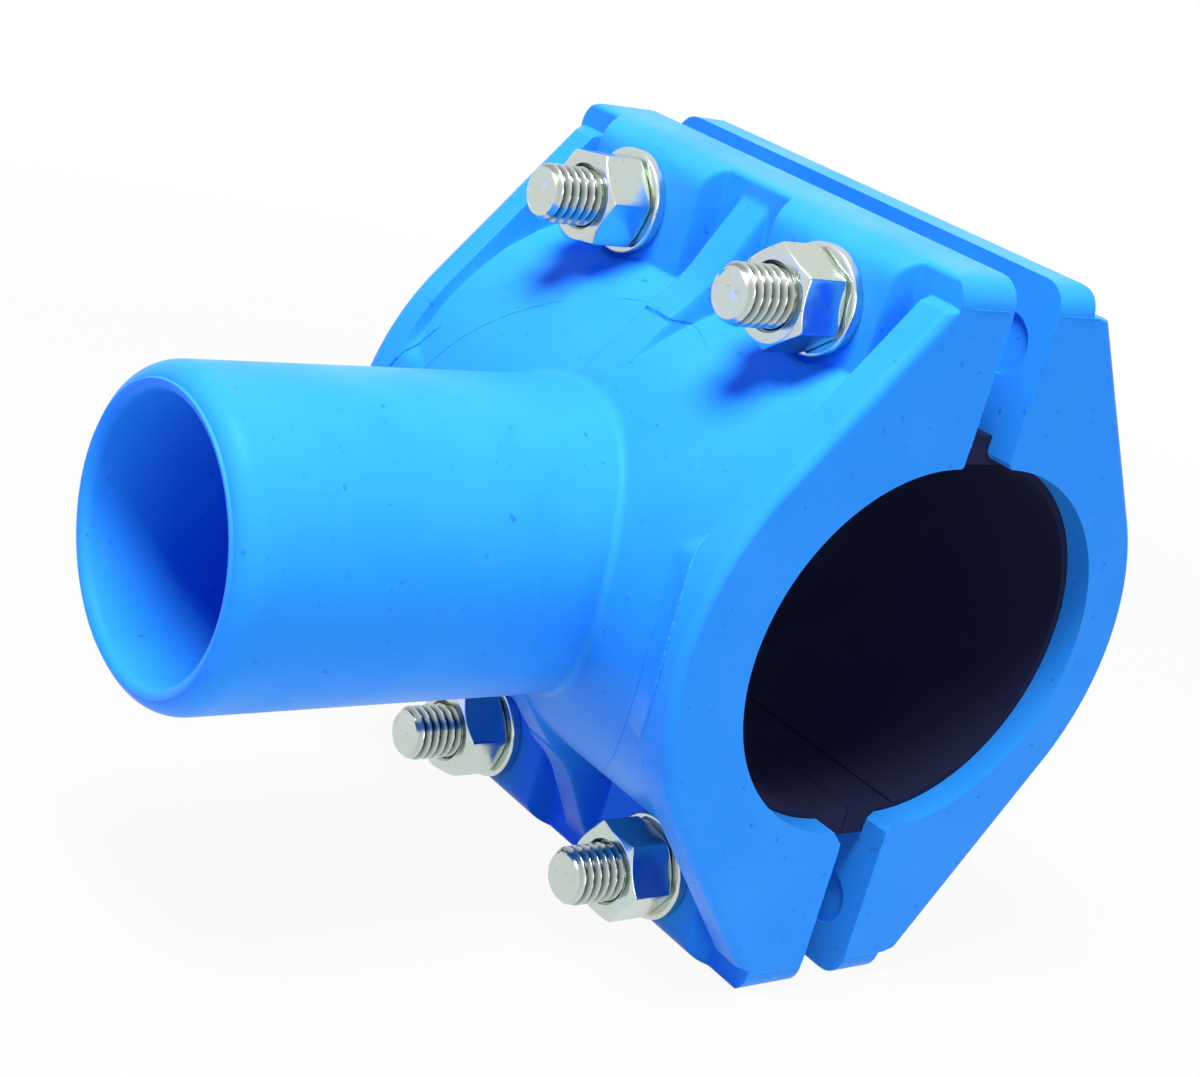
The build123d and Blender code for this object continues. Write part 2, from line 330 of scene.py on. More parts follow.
def bead(path: Array, radius: float) -> tuple[Array, Array]:
    """Makes a thin closed bead along a path, as flash leaves where two mould parts meet.

    Point (s, t) is path(s) + radius(s) (u cos t + v sin t), with u and v square to the path. The radius
    swells by two sine waves along the path and shrinks toward both ends.

    Args:
        path: Points in millimetres, one row each.
        radius: Mean radius of the bead.

    Returns:
        Vertices in metres and faces.
    """
    sides, tip_share, taper_mm = 6, 0.1, 2.0
    guide = np.array([0.31, 0.52, 0.79])  # any direction that no path follows
    run = np.gradient(path, axis=0)
    run /= np.linalg.norm(run, axis=1, keepdims=True)
    first = np.cross(run, guide)
    first /= np.linalg.norm(first, axis=1, keepdims=True)
    second = np.cross(run, first)
    far = np.concatenate([[0.0], np.cumsum(np.linalg.norm(np.diff(path, axis=0), axis=1))])
    swell = 1.0 + 0.35 * np.sin(1.7 * far) * np.sin(0.61 * far + 1.0) + 0.25 * np.sin(4.3 * far + 0.4)
    size = radius * swell * np.minimum(1.0, tip_share + np.minimum(far, far[-1] - far) / taper_mm)
    turn = full_turn(sides)
    ring = first[:, None] * np.cos(turn)[:, None] + second[:, None] * np.sin(turn)[:, None]
    points = (path[:, None] + size[:, None, None] * ring).reshape(-1, 3)
    last = (len(path) - 1) * sides
    near = np.array([[0, 1, 2, 3], [0, 3, 4, 5]])
    away = last + np.array([[3, 2, 1, 0], [5, 4, 3, 0]])
    faces = np.vstack([grid_faces(len(path), sides, wrap=True), near, away])
    return points * MM, outward(points, faces)


def along_y(points: Array, centre_mm: tuple[float, float, float], direction: int) -> Array:
    """Places points made about Z so that their Z runs along the Y axis.

    Args:
        points: Vertices in millimetres.
        centre_mm: Where their origin goes.
        direction: 1 to run along +Y, -1 along -Y.

    Returns:
        Vertices in metres.
    """
    x, y, z = points.T
    placed = np.stack([x, direction * z, direction * -y if direction > 0 else y], axis=1)
    return (placed + np.array(centre_mm)) * MM


def round_bar(radius: float, span: Sequence[float], centre: Pair, axis: Axis) -> Piece:
    """Makes a closed round cutter.

    Args:
        radius: Radius in millimetres.
        span: Where it starts and ends along its axis.
        centre: The two other coordinates: (y, z) along the run, or (x, z) along the branch.
        axis: Which way it runs.

    Returns:
        The cutter.
    """
    low, high = span
    points, faces = lathe([(0, low), (radius, low), (radius, high), (0, high)], 128)
    x, y, z = points.T
    if axis is Axis.RUN:
        placed = np.stack([z, x + centre[0], y + centre[1]], axis=1)
    else:
        placed = np.stack([y + centre[0], z, x + centre[1]], axis=1)
    return make_object("cutter", placed * MM, faces)


def edge_bar(centre: Pair, reach: float) -> Piece:
    """Makes a square bar along X that stands on its corner, to chamfer a long edge.

    Args:
        centre: (y, z) of the edge.
        reach: How far the chamfer reaches each way.

    Returns:
        The cutter.
    """
    end = 80.0
    y = centre[0] + np.array([reach, 0.0, -reach, 0.0] * 2)
    z = centre[1] + np.array([0.0, reach, 0.0, -reach] * 2)
    points = np.stack([np.repeat([-end, end], 4), y, z], axis=1)
    faces = np.array([[0, 1, 5, 4], [1, 2, 6, 5], [2, 3, 7, 6], [3, 0, 4, 7], [3, 2, 1, 0], [4, 5, 6, 7]])
    return make_object("cutter", points * MM, outward(points, faces))


def carve(piece: Piece, others: Sequence[Piece], how: Solid) -> None:
    """Cuts solids from a closed mesh, or joins them to it, and removes them.

    Args:
        piece: Object to change.
        others: Closed objects.
        how: Whether they cut or join.
    """
    for other in others:
        change = piece.modifiers.new("solid", "BOOLEAN")
        change.operation = how.value
        change.solver = "MANIFOLD"
        change.object = other
    depsgraph = bpy.context.evaluated_depsgraph_get()
    result = bpy.data.meshes.new_from_object(piece.evaluated_get(depsgraph))
    piece.modifiers.clear()
    old = piece.data
    piece.data = result
    bpy.data.meshes.remove(old)
    for other in others:
        mesh = other.data
        bpy.data.objects.remove(other)
        bpy.data.meshes.remove(mesh)


def finish_edges(piece: Piece, degrees: float) -> None:
    """Shades a mesh smooth but for sharp edges, and lets flat faces stay flat.

    Args:
        piece: Object to shade.
        degrees: Angle above which an edge is sharp.
    """
    piece.data.shade_smooth()
    piece.data.set_sharp_from_angle(angle=math.radians(degrees))
    weighted = piece.modifiers.new("weighted normals", "WEIGHTED_NORMAL")
    weighted.keep_sharp = True
    weighted.weight = 80


def seat(piece: Piece, node: str, body: str) -> None:
    """Puts a piece in place of its CAD node and reports it.

    Args:
        piece: The finished piece.
        node: CAD node that it stands for.
        body: Body that it rides on.
    """
    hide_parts(node)
    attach(piece, body)
    LOG.info("%s stands for %s on %s, %d faces", piece.name, node, body, len(piece.data.polygons))


# ------------------------------------------------------------------------------------- finishes


def add_node(tree: Tree, kind: str, place: Pair = (0, 0), **settings: object) -> Node:
    """Adds a node to a tree.

    Args:
        tree: Tree to add to.
        kind: Type of the node.
        place: Where it is drawn.
        **settings: Properties of the node.

    Returns:
        The node.
    """
    node = tree.nodes.new(kind)
    node.location = place
    for name, value in settings.items():
        setattr(node, name, value)
    return node


def set_inputs(node: Node, values: dict[str | int, float]) -> Node:
    """Sets a node's inputs by name or number, and returns the node."""
    for key, value in values.items():
        node.inputs[key].default_value = value
    return node


def mix_colours(tree: Tree, first: Colour | Socket, second: Colour | Socket, factor: Socket, place: Pair) -> Socket:
    """Mixes two colours: (1 - f) a + f b.

    Args:
        tree: Tree to add to.
        first: Colour or socket at factor 0.
        second: Colour or socket at factor 1.
        factor: Socket of the factor.
        place: Where the node is drawn.

    Returns:
        Socket of the mixed colour.
    """
    factor_in, first_in, second_in, colour_out = 0, 6, 7, 2  # the node's sockets for colours
    mix = add_node(tree, "ShaderNodeMix", place, data_type="RGBA")
    for socket, colour in ((mix.inputs[first_in], first), (mix.inputs[second_in], second)):
        if isinstance(colour, tuple):
            socket.default_value = (*colour, 1.0)
        else:
            tree.links.new(colour, socket)
    tree.links.new(factor, mix.inputs[factor_in])
    return mix.outputs[colour_out]


@dataclass(frozen=True)
class Grain:
    """Shared node group that gives a slow tint mask, a spot mask and a fine height over a surface.

    Tint and Spots are noise, cut between two limits and stretched to 0 to 1. Height is finer noise.
    """

    tint_detail: float = 3.0
    tint_limits: Pair = (0.35, 0.65)
    spot_gain: float = 6.5
    spot_detail: float = 6.0
    spot_roughness: float = 0.65
    spot_limits: Pair = (0.64, 0.72)
    fine_scale: float = 2600.0
    fine_detail: float = 2.0

    @staticmethod
    def _mask(tree: Tree, noise: Node, limits: Pair, height: float) -> Socket:
        """Stretches the part of a noise between two limits to 0 to 1.

        Args:
            tree: Tree to add to.
            noise: Noise node.
            limits: Values that become 0 and 1.
            height: Height at which the node is drawn.

        Returns:
            Socket of the mask.
        """
        stretch = add_node(tree, "ShaderNodeMapRange", (-200, height))
        set_inputs(stretch, {"From Min": limits[0], "From Max": limits[1]})
        tree.links.new(noise.outputs["Fac"], stretch.inputs["Value"])
        return stretch.outputs["Result"]

    def build(self) -> Tree:
        """Makes the node group.

        Returns:
            The group's tree.
        """
        tree = bpy.data.node_groups.new("surface_grain", "ShaderNodeTree")
        tree.interface.new_socket("Vector", in_out="INPUT", socket_type="NodeSocketVector")
        tree.interface.new_socket("Scale", in_out="INPUT", socket_type="NodeSocketFloat")
        for name in ("Tint", "Spots", "Height"):
            tree.interface.new_socket(name, in_out="OUTPUT", socket_type="NodeSocketFloat")
        entry = add_node(tree, "NodeGroupInput", (-900, 0))
        leave = add_node(tree, "NodeGroupOutput", (700, 0))
        tint = set_inputs(add_node(tree, "ShaderNodeTexNoise", (-500, 300)), {"Detail": self.tint_detail})
        spots = add_node(tree, "ShaderNodeTexNoise", (-500, 0))
        set_inputs(spots, {"Detail": self.spot_detail, "Roughness": self.spot_roughness})
        fine = add_node(tree, "ShaderNodeTexNoise", (-500, -300))
        set_inputs(fine, {"Scale": self.fine_scale, "Detail": self.fine_detail})
        for noise in (tint, spots, fine):
            tree.links.new(entry.outputs["Vector"], noise.inputs["Vector"])
        more = add_node(tree, "ShaderNodeMath", (-700, 0), operation="MULTIPLY")
        set_inputs(more, {1: self.spot_gain})
        tree.links.new(entry.outputs["Scale"], more.inputs[0])
        tree.links.new(entry.outputs["Scale"], tint.inputs["Scale"])
        tree.links.new(more.outputs["Value"], spots.inputs["Scale"])
        tree.links.new(self._mask(tree, tint, self.tint_limits, 300), leave.inputs["Tint"])
        tree.links.new(self._mask(tree, spots, self.spot_limits, 0), leave.inputs["Spots"])
        tree.links.new(fine.outputs["Fac"], leave.inputs["Height"])
        return tree


@dataclass(frozen=True)
class Finish:
    """What every finish has: its grain, its roughness between two limits, and a fine bump."""

    name: str
    grain_scale: float
    roughness: float
    smoother: float
    rougher: float
    bump_strength: float
    bump_mm: float
    shader: tuple[tuple[str, float | tuple], ...]

    def colour(self, tree: Tree, grain: Node) -> Socket:
        """Gives the socket of the base colour; each finish has its own."""
        raise NotImplementedError

    def make(self, group: Tree) -> Material:
        """Makes the material.

        Args:
            group: The shared grain group.

        Returns:
            The material.
        """
        material = bpy.data.materials.new(self.name)
        material.use_nodes = True
        tree = material.node_tree
        shader = set_inputs(tree.nodes["Principled BSDF"], dict(self.shader))
        where = add_node(tree, "ShaderNodeTexCoord", (-1200, 0))
        grain = add_node(tree, "ShaderNodeGroup", (-900, 0), node_tree=group)
        set_inputs(grain, {"Scale": self.grain_scale})
        limits = add_node(tree, "ShaderNodeMapRange", (-500, -100))
        set_inputs(limits, {"To Min": self.roughness - self.smoother, "To Max": self.roughness + self.rougher})
        bump = add_node(tree, "ShaderNodeBump", (-300, -300))
        set_inputs(bump, {"Strength": self.bump_strength, "Distance": self.bump_mm * MM})
        for start, end in (
            (where.outputs["Object"], grain.inputs["Vector"]),
            (self.colour(tree, grain), shader.inputs["Base Color"]),
            (grain.outputs["Tint"], limits.inputs["Value"]),
            (limits.outputs["Result"], shader.inputs["Roughness"]),
            (grain.outputs["Height"], bump.inputs["Height"]),
            (bump.outputs["Normal"], shader.inputs["Normal"]),
        ):
            tree.links.new(start, end)
        return material


@dataclass(frozen=True)
class PlasticFinish(Finish):
    """Glossy blue moulding with faint flow streaks and a little workshop grime."""

    name: str = "blue_moulding"
    grain_scale: float = 55.0
    roughness: float = 0.38
    smoother: float = 0.03
    rougher: float = 0.05
    bump_strength: float = 0.12
    bump_mm: float = 0.02
    shader: tuple = (("Specular IOR Level", 0.18), ("Specular Tint", (0.08, 0.30, 1.0, 1.0)))
    lit: Colour = (0.036, 0.370, 0.985)
    deep: Colour = (0.030, 0.345, 0.975)
    grime: Colour = (0.020, 0.060, 0.200)
    grime_share: float = 0.6

    def colour(self, tree: Tree, grain: Node) -> Socket:
        """Mixes the two blues by the tint, and the grime over them by a share of the spots.

        Args:
            tree: Tree to add to.
            grain: The grain group's node.

        Returns:
            Socket of the colour.
        """
        body = mix_colours(tree, self.lit, self.deep, grain.outputs["Tint"], (-600, 300))
        dirt = add_node(tree, "ShaderNodeMath", (-700, 100), operation="MULTIPLY")
        set_inputs(dirt, {1: self.grime_share})
        tree.links.new(grain.outputs["Spots"], dirt.inputs[0])
        return mix_colours(tree, body, self.grime, dirt.outputs["Value"], (-400, 300))


@dataclass(frozen=True)
class RubberFinish(Finish):
    """Dull black rubber with a fine mould texture."""

    name: str = "black_rubber"
    grain_scale: float = 90.0
    roughness: float = 0.66
    smoother: float = 0.06
    rougher: float = 0.1
    bump_strength: float = 0.3
    bump_mm: float = 0.05
    shader: tuple = (("Specular IOR Level", 0.06),)
    base: Colour = (0.019, 0.022, 0.054)
    dust: Colour = (0.034, 0.037, 0.070)

    def colour(self, tree: Tree, grain: Node) -> Socket:
        """Mixes the rubber and its dust by the spots."""
        return mix_colours(tree, self.base, self.dust, grain.outputs["Spots"], (-400, 300))


@dataclass(frozen=True)
class ZincFinish(Finish):
    """Bright zinc plate, cool with a trace of yellow, with painted shade darkening the grooves of a thread."""

    name: str = "zinc_plate"
    grain_scale: float = 140.0
    roughness: float = 0.17
    smoother: float = 0.04
    rougher: float = 0.1
    bump_strength: float = 0.25
    bump_mm: float = 0.02
    shader: tuple = (("Metallic", 1.0),)
    base: Colour = (0.56, 0.65, 0.64)
    warm: Colour = (0.58, 0.63, 0.54)
    soil: Colour = (0.14, 0.16, 0.16)
    # painted shade: near-black colour laid into the thread's grooves, where shade falls
    groove_shade: Colour = (0.045, 0.055, 0.06)

    def colour(self, tree: Tree, grain: Node) -> Socket:
        """Mixes the plate's two tints, the soil by the spots, and painted shade into the thread's grooves by its
        attribute.

        Args:
            tree: Tree to add to.
            grain: The grain group's node.

        Returns:
            Socket of the colour.
        """
        plate = mix_colours(tree, self.base, self.warm, grain.outputs["Tint"], (-600, 300))
        soiled = mix_colours(tree, plate, self.soil, grain.outputs["Spots"], (-400, 300))
        # painted shade: the depth attribute darkens the thread's grooves
        groove_shade = add_node(tree, "ShaderNodeAttribute", (-700, 500), attribute_name="groove_shade")
        return mix_colours(tree, soiled, self.groove_shade, groove_shade.outputs["Fac"], (-200, 300))


# ------------------------------------------------------------------------------------- shells


@dataclass(frozen=True)
class Spigot:
    """The branch spigot: its turned outside, the fillet at its root and the insert line round it."""

    radius_mm: float = 31.5
    bore_mm: float = 25.9
    mouth_y_mm: float = 132.0
    mouth_start_mm: float = 126.0
    mouth_radius_mm: float = 27.6
    mouth_rise_mm: float = 5.6
    burr_radius_mm: float = 27.95
    burr_foot_mm: float = 0.25
    burr_slope_mm: float = 0.12
    lead_mm: float = 2.2
    blind_mm: float = 6.0
    root_blend_mm: float = 1.7
    insert_radius_mm: float = 47.2
    insert_step_mm: float = 0.8
    insert_ease_mm: float = 0.7
    insert_line_mm: float = 0.13
    insert_arcs: tuple[Pair, ...] = ((-0.9, 1.05), (math.pi - 1.05, math.pi + 0.9), (1.25, math.pi - 1.25))

    def tube(self, root_mm: float) -> Piece:
        """Makes the outside, with its rounded mouth and the fine burr on it.

        The mouth's round is the quarter ellipse (r0 + a sin t, y0 + b cos t) up to the burr. Behind the
        burr the bore's edge is the quarter ellipse (r + c (1 - sin t), y - d (1 - cos t)).

        Args:
            root_mm: Depth at which it starts, inside the shell.

        Returns:
            The closed tube.
        """
        width, lead = self.radius_mm - self.mouth_radius_mm, self.burr_radius_mm - self.bore_mm
        stop = math.asin((self.burr_radius_mm + self.burr_foot_mm - self.mouth_radius_mm) / width)
        turn = np.linspace(math.pi / 2.0, stop, 14)
        mouth = np.stack(
            [self.mouth_radius_mm + width * np.sin(turn), self.mouth_start_mm + self.mouth_rise_mm * np.cos(turn)],
            axis=1,
        )
        burr = [
            (self.burr_radius_mm + self.burr_slope_mm, self.mouth_y_mm - self.burr_foot_mm),
            (self.burr_radius_mm, self.mouth_y_mm),
        ]
        bend = np.linspace(0.15, 1.0, 7) * math.pi / 2.0
        inner = np.stack(
            [self.bore_mm + lead * (1.0 - np.sin(bend)), self.mouth_y_mm - self.lead_mm * (1.0 - np.cos(bend))],
            axis=1,
        )
        blind = self.mouth_y_mm - self.blind_mm
        start, end = [(0.0, root_mm), (self.radius_mm, root_mm)], [(self.bore_mm, blind), (0.0, blind)]
        points, faces = lathe(np.vstack([start, mouth, burr, inner, end]), 192)
        return make_object("spigot", along_y(points, (0, 0, 0), -1), faces)

    def skirt(self, depth: DepthField) -> Piece:
        """Makes the fillet between the spigot and the body.

        At each turn t it is the quadratic curve from (R, d(R) + f) by the corner (R, d(R)) to
        (R + f, d(R + f)), with d the shell's depth, and it is closed inside the two walls.

        Args:
            depth: The shell's outside.

        Returns:
            The closed ring.
        """
        behind_wall, below_body = 2.5, 3.0
        turn = full_turn(288)
        wall = self.radius_mm - OVERLAP_MM
        foot = wall + self.root_blend_mm
        low = depth(foot * np.cos(turn), foot * np.sin(turn)) - OVERLAP_MM
        corner = depth(wall * np.cos(turn), wall * np.sin(turn))
        share = np.linspace(0.0, 1.0, 10)[:, None]
        weights = ((1.0 - share) ** 2, 2.0 * share * (1.0 - share), share**2)
        reach = wall * (weights[0] + weights[1]) + foot * weights[2] + 0.0 * turn
        level = (corner + self.root_blend_mm) * weights[0] + corner * weights[1] + low * weights[2]
        reach = np.vstack([reach, reach[-1:], reach[:1] - behind_wall, reach[:1] - behind_wall])
        level = np.vstack([level, level[-1:] - below_body, level[-1:] - below_body, level[:1]])
        points = np.stack([reach * np.cos(turn), -level, reach * np.sin(turn)], axis=-1).reshape(-1, 3)
        rows, turns = reach.shape
        first = np.arange(turns)
        faces = np.vstack([grid_faces(rows, turns, wrap=True), band((rows - 1) * turns + first, first)])
        return make_object("skirt", points * MM, outward(points, faces))

    def cutters(self, depth: DepthField) -> list[Piece]:
        """Makes the cutters for the bore and for the insert line round the root.

        Args:
            depth: The shell's outside.

        Returns:
            The cutters.
        """
        made = [round_bar(self.bore_mm, (-150.0, 10.0), (0.0, 0.0), Axis.BRANCH)]
        for low, high in self.insert_arcs:
            path = on_circle(depth, self.insert_radius_mm, np.linspace(low, high, 260))
            made.append(make_object("line", *bead(path, self.insert_line_mm)))
        return made


def on_circle(depth: DepthField, radius: float, turn: Array) -> Array:
    """Gives a circle round the branch on the front shell's outside: (R cos t, -depth, R sin t)."""
    x, z = radius * np.cos(turn), radius * np.sin(turn)
    return np.stack([x, -depth(x, z), z], axis=1)


@dataclass(frozen=True)
class MouldedShell:
    """One half of the saddle, drawn along Y like the real moulding.

    Its outside is one height field, depth(x, z), measured outward from its split face and blended from
    the body's half cylinder, the flange, the end plates, the ribs and the pads. Openings are cut from
    the closed solid afterwards.
    """

    name: str
    node: str
    half: Half
    body: Body
    split_y_mm: float
    body_radius_mm: float
    plate_radius_mm: float
    plate_corner_mm: float
    flange_mm: float
    pad_rise_mm: float
    rib_crest_mm: tuple[Pair, ...]
    crown_start_mm: float
    crown_radius_mm: float
    spigot: Spigot | None = None
    half_length_mm: float = 59.0
    height_mm: float = 75.6
    corner_mm: float = 5.6
    flange_blend_mm: float = 3.0
    plate_mm: float = 9.0
    plate_edge_mm: float = 2.4
    plate_inner_mm: float = 51.0
    plate_inner_slope: float = 13.0
    plate_circle_mm: float = 53.8
    plate_end_ease_mm: float = 1.2
    plate_end_fall: float = 8.0
    plate_blend_mm: float = 1.6
    chamfers_mm: Pair = (0.4, 2.6)
    crown_blend_mm: float = 2.0
    rib_half_mm: float = 4.3
    rib_slope: float = 3.2
    rib_shoulder_mm: float = 0.7
    rib_blend_mm: float = 1.0
    pad_inner_mm: float = 9.0
    pad_outer_mm: float = 47.9
    pad_side_mm: float = 3.0
    land_radius_mm: float = 39.0
    pocket_radius_mm: float = 41.0
    land_mm: float = 6.0
    hole_radius_mm: float = 6.75
    seat_mm: float = 19.6
    spot_radius_mm: float = 11.9
    mark_radius_mm: float = 6.2
    mark_depth_mm: float = 1.2
    mark_places_mm: tuple[Pair, ...] = ((-48.0, -61.0), (-48.0, 61.0), (48.0, -61.0), (48.0, 61.0))
    flash_mm: float = 0.14
    circle_flash_mm: float = 0.28

    def build(self, plastic: Material) -> None:
        """Builds the shell and dresses it.

        Args:
            plastic: The blue moulding.
        """
        points, faces = self._solid()
        piece = make_object(self.name, points, faces, plastic)
        if self.spigot:
            carve(piece, [self.spigot.skirt(self.depth), self.spigot.tube(self.flange_mm)], Solid.JOIN)
        carve(piece, self._cutters(), Solid.CUT)
        carve(piece, self._flash(), Solid.JOIN)
        finish_edges(piece, 32.0)
        seat(piece, self.node, self.body.value)

    def depth(self, x: Array, z: Array) -> Array:
        """Gives the outside's depth from the split face.

        With a = |x| and b = |z|: the body is sqrt(R^2 - b^2); an end plate follows its outline for
        a > L - t and falls steeply inside that; the rib falls by its slope past its half width; a pad
        adds its rise by smooth steps at its sides; the crown is an arc over the flange's outer edge.

        Args:
            x: Places along the run pipe, in millimetres.
            z: Heights, in millimetres.

        Returns:
            Depths in millimetres.
        """
        a, b = np.abs(x), np.abs(z)
        body = np.sqrt(np.maximum(self.body_radius_mm**2 - b**2, 0.0))
        outside = smooth_max(body, np.full_like(b, self.flange_mm), self.flange_blend_mm)
        if self.pad_rise_mm:
            side = smooth_step((a - self.pad_inner_mm) / self.pad_side_mm)
            side = side * smooth_step((self.pad_outer_mm - a) / self.pad_side_mm)
            pad = self.flange_mm + self.pad_rise_mm * side
            outside = np.where(side > 0.0, smooth_max(body, pad, self.flange_blend_mm), outside)
        outside = smooth_max(outside, self._rib(a, b), self.rib_blend_mm)
        outside = smooth_max(outside, self._plate(a, b), self.plate_blend_mm)
        crown = self.crown_radius_mm
        over = np.clip(b - (self.height_mm - crown), 0.0, crown)
        cap = self.crown_start_mm + np.sqrt(crown**2 - over**2)
        cap = np.where(b > self.height_mm - crown, cap, FAR_MM)
        return smooth_min(outside, cap, self.crown_blend_mm)

    def _rib(self, a: Array, b: Array) -> Array:
        """Gives the central rib's depth: its crest less its flanks' fall.

        The crest is the mean of its bent profile c(b) at heights round b, less a step inside the insert's
        circle. The flanks fall by slope * sqrt(1 + c'^2) for each millimetre past the half width.

        Args:
            a: Distances from the saddle's middle.
            b: Distances from the run axis.

        Returns:
            Depths in millimetres.
        """
        smoothing, samples, step, reach, steepest = 3.0, 9, 0.1, 90, 2.4
        depth, height = np.array(self.rib_crest_mm).T
        order = np.argsort(height)
        profile = (height[order], depth[order])
        crest = np.zeros_like(b)
        for shift in np.linspace(-smoothing, smoothing, samples):
            crest += np.interp(np.abs(b + shift), *profile) / samples
        fine = np.linspace(0, reach, round(reach / step) + 1)
        lean = np.sqrt(1.0 + np.interp(b, fine, np.gradient(np.interp(fine, *profile), step)) ** 2)
        flank = smooth_max(a - self.rib_half_mm, np.zeros_like(a), self.rib_shoulder_mm)
        if self.spigot:
            inside = (self.spigot.insert_radius_mm - np.hypot(a, b)) / self.spigot.insert_ease_mm
            crest = crest - self.spigot.insert_step_mm * smooth_step(inside + 0.5)
        return crest - self.rib_slope * np.minimum(lean, steepest) * flank

    def _plate(self, a: Array, b: Array) -> Array:
        """Gives an end plate's depth.

        Its outline is sqrt(R^2 - b^2) up to where the straight tangent to its corner touches, and that
        tangent beyond. From it come off the quarter round of the outer edge, a fall past the corner and a
        steep fall inside the inner edge, which follows a circle round the spigot where there is one.

        Args:
            a: Distances from the saddle's middle.
            b: Distances from the run axis.

        Returns:
            Depths in millimetres.
        """
        almost_one = 0.999  # keeps the quarter round's root off zero
        least_arc, circle_blend = 1.0, 0.6
        low_slope, rise, rise_start, rise_width = 0.42, 12.6, 16.0, 14.0
        radius = self.plate_radius_mm
        corner = (self.plate_corner_mm, self.height_mm - self.corner_mm)
        angle = math.atan2(corner[1], corner[0]) - math.acos(radius / math.hypot(*corner))
        touch = (radius * math.cos(angle), radius * math.sin(angle))
        arc = np.sqrt(np.maximum(radius**2 - b**2, 0.0))
        fall = (touch[0] - corner[0]) / (corner[1] - touch[1])
        outline = np.where(b < touch[1], arc, touch[0] - (b - touch[1]) * fall)
        slope = np.where(b < touch[1], b / np.maximum(arc, least_arc), fall)
        edge = self.plate_edge_mm
        out = np.clip((a - (self.half_length_mm - edge)) / edge, 0.0, 1.0)
        rounding = edge * (1.0 - np.sqrt(1.0 - out**2 * almost_one))
        ease = self.plate_end_ease_mm
        past = smooth_max(b - corner[1] + ease / 4.0, np.zeros_like(b), ease) * self.plate_end_fall
        start = np.full_like(b, self.plate_inner_mm)
        steep = np.full_like(b, self.plate_inner_slope)
        if self.spigot:
            ring = np.sqrt(np.maximum(self.plate_circle_mm**2 - b**2, 0.0))
            start = smooth_max(start, ring, circle_blend)
            steep = low_slope + rise * smooth_step((b - rise_start) / rise_width) ** 2
        inner = np.maximum(start - a, 0.0) * steep
        return outline - rounding * np.sqrt(1.0 + slope**2) - past - inner

    def _samples(self) -> tuple[Array, Array]:
        """Spaces the samples of the outside, closer together where it bends.

        The ends of each row are drawn in by the flange's corner: x (L - c + sqrt(c^2 - o^2)) / L, with o
        how far the row lies past the corner's start.

        Returns:
            Grids of x and z in millimetres.
        """
        past_pad, past_rib, inside_plate, inside_end, inside_top, width = 1.7, 1.5, 0.6, 1.0, 0.8, 1.8
        length, height, corner = self.half_length_mm, self.height_mm, self.corner_mm
        pads = (self.pad_inner_mm + past_pad, self.pad_outer_mm - past_pad) if self.pad_rise_mm else ()
        plate = length - self.plate_mm - inside_plate
        columns = (self.rib_half_mm + past_rib, plate, length - inside_end, *pads)
        x = spread(length, 251, columns, 5.0, width)
        valley = math.sqrt(self.body_radius_mm**2 - self.flange_mm**2)
        z = spread(height, 281, (valley, height - inside_top, height - corner), 4.0, width)
        share, z = np.meshgrid(x / length, z)
        over = np.clip(np.abs(z) - (height - corner), 0.0, corner)
        return share * (length - corner + np.sqrt(corner**2 - over**2)), z

    def _solid(self) -> tuple[Array, list]:
        """Makes the closed solid between the outside and the split face, before its openings.

        Its edge is a wall of rings at equal shares of the outside's depth.

        Returns:
            Vertices in metres and faces.
        """
        levels = 7
        x, z = self._samples()
        outside = np.stack([x.ravel(), self.depth(x, z).ravel(), z.ravel()], axis=1)
        rim = self._rim_order(*x.shape)
        rings, points = [rim], [outside]
        for level in range(1, levels + 1):
            ring = outside[rim].copy()
            ring[:, 1] *= 1.0 - level / levels
            rings.append(np.arange(len(rim)) + sum(len(block) for block in points))
            points.append(ring)
        faces = grid_faces(*x.shape).tolist()
        for upper, lower in zip(rings, rings[1:]):
            faces += band(upper, lower).tolist()
        faces += self._split_faces(rings[-1], *x.shape)
        points = np.vstack(points)
        points[:, 1] = self.split_y_mm + self.half.value * points[:, 1]
        if self.half is Half.FRONT:
            faces = [face[::-1] for face in faces]
        return points * MM, faces

    @staticmethod
    def _rim_order(rows: int, columns: int) -> Array:
        """Lists the border vertices of a grid in order round it."""
        index = np.arange(rows * columns).reshape(rows, columns)
        return np.concatenate([index[:-1, 0], index[-1, :-1], index[:0:-1, -1], index[0, :0:-1]])

    @staticmethod
    def _split_faces(ring: Array, rows: int, columns: int) -> list[list[int]]:
        """Closes the split face with strips from one end to the other.

        Args:
            ring: Vertices round the split face, from the grid's first corner.
            rows: Vertices along each end.
            columns: Vertices along the top and the bottom.

        Returns:
            The faces.
        """
        left = ring[:rows]
        top = ring[rows - 1 : rows + columns - 1]
        right = ring[rows + columns - 2 : 2 * rows + columns - 2][::-1]
        bottom = np.concatenate([ring[2 * rows + columns - 3 :], ring[:1]])[::-1]
        inner = slice(1, rows - 2)
        after = slice(2, rows - 1)
        faces = np.stack([left[inner], left[after], right[after], right[inner]], axis=1).tolist()
        faces.append([right[1], *bottom[::-1].tolist(), left[1]])
        faces.append([left[-2], *top.tolist(), right[-2]])
        return [[int(index) for index in face[::-1]] for face in faces]

